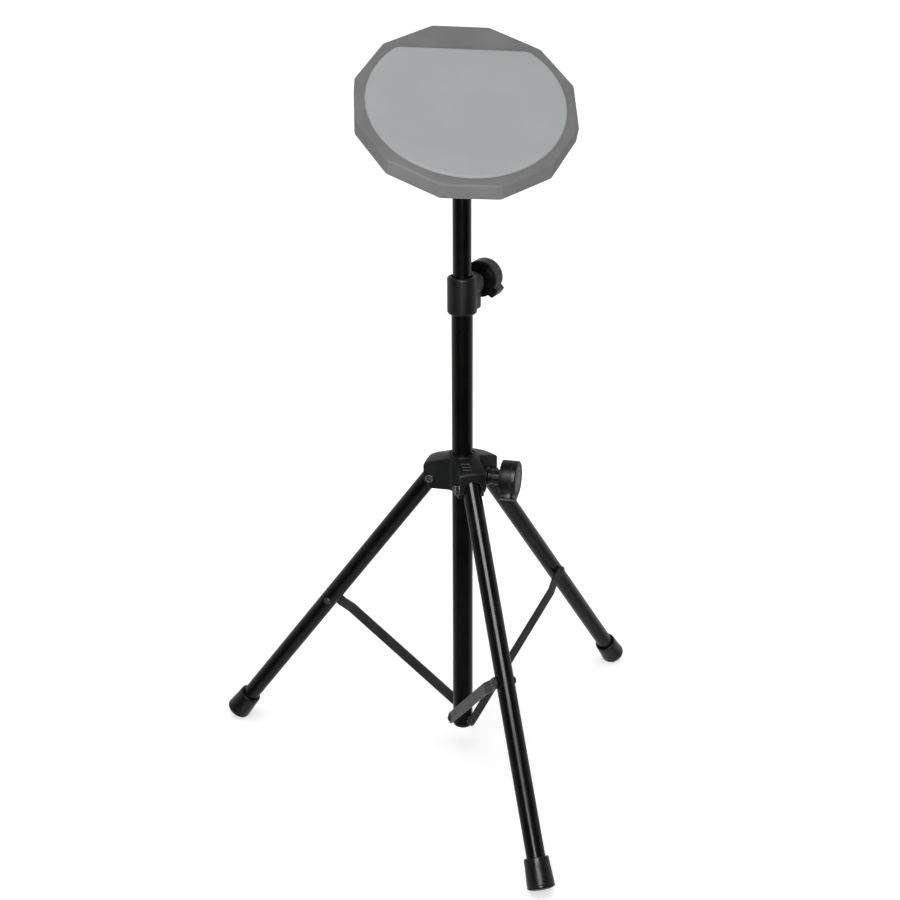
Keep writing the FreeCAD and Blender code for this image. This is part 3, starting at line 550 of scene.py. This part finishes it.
def foot_profile():
    """Outline of the rubber cap from its mouth to the middle of its end, (radius, z)."""
    top = FOOT_END - FOOT_LENGTH
    mouth_r = FOOT_TOP_R - FOOT_MOUTH
    profile = [(LEG_R + 0.02, top + 0.4), (LEG_R + 0.5, top), (mouth_r, top)]
    profile += arc((mouth_r, top + FOOT_MOUTH), FOOT_MOUTH, -90, 0, 4)
    profile += [(FOOT_TOP_R + flare, top + distance) for distance, flare in FOOT_FLARE]
    groove = FOOT_END - FOOT_RIM - 1.2
    profile += [(FOOT_END_R - 0.12, groove - 0.7), (FOOT_END_R - 0.55, groove - 0.3),
                (FOOT_END_R - 0.55, groove), (FOOT_END_R - 0.02, groove + 0.4)]
    profile += arc((FOOT_END_R - FOOT_RIM, FOOT_END - FOOT_RIM), FOOT_RIM, 0, 90, 8)
    for radius in FOOT_RINGS:
        floor = foot_dome(radius) - FOOT_RING_DEPTH
        profile += [(radius + 1.0, foot_dome(radius + 1.0)), (radius + 0.7, floor),
                    (radius, floor), (radius - 0.3, foot_dome(radius - 0.3))]
    profile += [(0.8, foot_dome(0.8))]
    return profile


def build_feet(materials):
    """Rubber caps, flattened where they stand on the floor."""
    for letter in "abc":
        matrix = leg_matrix(letter)
        to_foot = matrix.inverted()
        bm = shell(circles(foot_profile()))
        for vertex in bm.verts:
            world = matrix @ (vertex.co * MM)
            if world.z < 0:
                world.z = 0
                vertex.co = (to_foot @ world) / MM
        add_piece(f"rubber_foot_{letter}", bm, matrix, f"leg_{letter}",
                  materials["foot_rubber"], f"foot_{letter}", 50.0)


def wing_radius(angle, disc_r, wing_r):
    """Radius of the knob's outline: a disc with one thumb wing between two small notches."""
    off = abs((degrees(angle) + 180) % 360 - 180)
    if off < KNOB_WING_BASE:
        slope = min(1.0, (KNOB_WING_BASE - off) / (KNOB_WING_BASE - KNOB_WING_TIP))
        rise = slope * slope * (3 - 2 * slope)
        crown = KNOB_WING_CROWN * (1 - (off / KNOB_WING_BASE) ** 2)
        return disc_r + (wing_r - disc_r - KNOB_WING_CROWN) * rise + crown
    if off < KNOB_WING_BASE + KNOB_NOTCH_ANGLE:
        return disc_r - KNOB_NOTCH_DEPTH * sin(pi * (off - KNOB_WING_BASE) / KNOB_NOTCH_ANGLE)
    return disc_r


def knob_ring(inset, z, phase):
    """Outline of the knob's head moved in by inset."""
    points = []
    for i in range(KNOB_SEGMENTS):
        angle = tau * i / KNOB_SEGMENTS
        radius = wing_radius(angle, KNOB_DISC_R - inset, KNOB_WING_R - inset)
        points.append((radius * cos(angle + phase), radius * sin(angle + phase), z))
    return points


def build_knob(name, materials):
    """Hand knob: ribbed stem, hollow back, one thumb wing and a seat for the cap."""
    phase = radians(KNOB_PHASE[name])
    stem, back, front = KNOB_STEM_START, KNOB_BACK, KNOB_FRONT
    floor = back + KNOB_HOLLOW
    stem_profile = (
        (KNOB_BORE_R, stem), (KNOB_STEM_R - 0.5, stem), (KNOB_STEM_R, stem + 0.5),
        (KNOB_STEM_R, stem + 3.2), (KNOB_NECK_R, stem + 3.8), (KNOB_NECK_R, stem + 5.6),
        (KNOB_STEM_R, stem + 6.2), (KNOB_STEM_R, floor - 0.8), (KNOB_STEM_R + 0.8, floor))
    head_profile = (
        (7.0, floor), (KNOB_WALL + 0.8, floor), (KNOB_WALL + 0.2, floor - 0.8),
        (KNOB_WALL, back + 0.6), (KNOB_WALL - 0.4, back + 0.1), (0.5, back),
        (0.12, back + 0.15), (0.0, back + 0.6), (0.0, back + 6.0), (0.0, back + 11.6),
        (0.35, back + 11.9), (0.35, back + 12.5), (0.0, back + 12.8), (0.0, front - 1.5),
        (0.25, front - 0.8), (0.9, front - 0.25), (1.8, front))
    seat_profile = (
        (KNOB_CAP_R + 0.9, front), (KNOB_CAP_R + 0.35, front - 0.3), (KNOB_CAP_R, front - 1.0),
        (KNOB_CAP_R, front - KNOB_SEAT), (KNOB_BORE_R, front - KNOB_SEAT))
    rings = circles(stem_profile, KNOB_SEGMENTS)
    rings += [knob_ring(inset, z, phase) for inset, z in head_profile]
    rings += circles(seat_profile, KNOB_SEGMENTS)
    add_piece(f"{name}_hand_knob", shell(rings), clamp_matrix(name), f"{name}_clamp",
              materials["knob_plastic"], f"{name}_knob", 40.0)


def build_knob_cap(name, materials):
    """Domed cap with a turned rim and a ring of small raised pips."""
    front = KNOB_FRONT
    shoulder = front - 0.3
    profile = [(0.6, front - 2.0), (CAP_R, front - 2.0), (CAP_R, front - 0.9),
               (CAP_R - 0.3, front - 0.35), (CAP_R - 0.8, front - 0.2),
               (CAP_R - 1.1, front - 0.6), (CAP_R - 1.4, front - 0.6), (CAP_DOME_R, shoulder)]
    profile += [(CAP_DOME_R * share, shoulder + CAP_DOME * (1 - share ** 2))
                for share in (0.9, 0.75, 0.55, 0.3, 0.06)]
    bm = shell(circles(profile))
    for x, y, z in circle(CAP_PIP_PLACE, front + 0.05, CAP_PIPS):
        pip = Matrix.Translation((x, y, z)) @ Matrix.Diagonal(CAP_PIP_SHAPE)
        bmesh.ops.create_icosphere(bm, subdivisions=2, radius=1.0, matrix=pip)
    add_piece(f"{name}_end_cap", bm, clamp_matrix(name), f"{name}_clamp",
              materials["knob_cap"], f"{name}_knob_cap", 40.0)


def finish_cad_nodes(materials):
    """Gives every CAD node its material, small bevels and shading that follows its large faces."""
    slots = {part["node"]: part["material_slot"] for part in frame["record"]["subparts"]}
    slots.update(leg_pivot_bolts="dark_bolt", leg_pivot_nuts="dark_bolt")
    for name, node in frame["nodes"].items():
        node.data.materials.clear()
        node.data.materials.append(materials[slots[name]])
        weld = node.modifiers.new("weld", "WELD")
        weld.merge_threshold = SEAM_WELD
        bevel = node.modifiers.new("bevel", "BEVEL")
        bevel.width = EDGE_BEVEL
        bevel.segments = 2
        bevel.limit_method = "ANGLE"
        bevel.angle_limit = radians(EDGE_ANGLE)
        strips = node.modifiers.new("weld_strips", "WELD")
        strips.merge_threshold = STRIP_WELD
        weighted = node.modifiers.new("weighted_normal", "WEIGHTED_NORMAL")
        weighted.mode = "FACE_AREA_WITH_ANGLE"
        weighted.keep_sharp = True


# ---- studio -----------------------------------------------------------------------------

def build_floor():
    bm = bmesh.new()
    bmesh.ops.create_grid(bm, x_segments=8, y_segments=8, size=FLOOR_SIZE)
    mesh = bpy.data.meshes.new("studio_floor")
    bm.to_mesh(mesh)
    bm.free()
    mesh.materials.append(floor_material())
    floor = bpy.data.objects.new("studio_floor", mesh)
    floor.visible_glossy = False
    bpy.context.scene.collection.objects.link(floor)


def build_world():
    """Plain backdrop; reflections show a dark room in front of a bright wall and floor."""
    world = bpy.data.worlds.new("studio")
    world.use_nodes = True
    tree = world.node_tree
    background = tree.nodes["Background"]
    place = tree.nodes.new("ShaderNodeTexCoord")
    split = tree.nodes.new("ShaderNodeSeparateXYZ")
    path = tree.nodes.new("ShaderNodeLightPath")
    links = tree.links
    links.new(place.outputs["Generated"], split.inputs[0])
    glows = []
    for axis, values in (("Y", WALL_GLOW), ("Z", CEILING_DIM), ("Z", FLOOR_GLOW)):
        glow = tree.nodes.new("ShaderNodeMapRange")
        for socket, value in zip(("From Min", "From Max", "To Min", "To Max"), values):
            glow.inputs[socket].default_value = value
        links.new(split.outputs[axis], glow.inputs["Value"])
        glows.append(glow.outputs["Result"])
    strength = glows[0]
    for operation, glow in zip(("MULTIPLY", "MAXIMUM"), glows[1:]):
        combine = tree.nodes.new("ShaderNodeMath")
        combine.operation = operation
        links.new(strength, combine.inputs[0])
        links.new(glow, combine.inputs[1])
        strength = combine.outputs[0]
    for ray, value in (("Is Diffuse Ray", DIFFUSE_FILL), ("Is Camera Ray", BACKDROP)):
        switch = tree.nodes.new("ShaderNodeMix")
        switch.data_type = "FLOAT"
        links.new(path.outputs[ray], switch.inputs["Factor"])
        links.new(strength, switch.inputs["A"])
        switch.inputs["B"].default_value = value
        strength = switch.outputs["Result"]
    links.new(strength, background.inputs["Strength"])
    background.inputs["Color"].default_value = (1.0, 1.0, 1.0, 1.0)
    bpy.context.scene.world = world


def build_lights(centre):
    aim = centre + Vector((0, 0, LIGHT_AIM))
    for name, (place, size, watts) in SOFTBOXES.items():
        light = bpy.data.lights.new(name, "AREA")
        light.shape = "RECTANGLE"
        light.size, light.size_y = size
        light.energy = watts
        lamp = bpy.data.objects.new(name, light)
        lamp.location = centre + Vector(place)
        lamp.rotation_euler = (aim - lamp.location).to_track_quat("-Z", "Y").to_euler()
        lamp.visible_glossy = name not in FILL_LIGHTS
        lamp.visible_diffuse = name not in GLINT_LIGHTS
        bpy.context.scene.collection.objects.link(lamp)


def build_camera(centre):
    camera = bpy.data.cameras.new("camera")
    camera.lens = CAMERA_LENS
    camera.sensor_width = CAMERA_SENSOR
    view = bpy.data.objects.new("camera", camera)
    view.location = centre + Vector((CAMERA_SIDE, -CAMERA_BACK, CAMERA_HEIGHT))
    turn = Matrix.Rotation(CAMERA_YAW, 3, "Z") @ Matrix.Rotation(pi / 2 - CAMERA_PITCH, 3, "X")
    view.rotation_euler = (turn @ Matrix.Rotation(CAMERA_ROLL, 3, "Z")).to_euler()
    bpy.context.scene.collection.objects.link(view)
    bpy.context.scene.camera = view


def main():
    bpy.context.scene.view_settings.view_transform = "Standard"
    materials = make_materials()
    finish_cad_nodes(materials)
    build_playing_face(materials)
    build_grip_sheet(materials)
    build_feet(materials)
    for name in ("collar", "hub"):
        build_knob(name, materials)
        build_knob_cap(name, materials)
    centre = mast_axis()
    build_floor()
    build_world()
    build_lights(centre)
    build_camera(centre)


main()
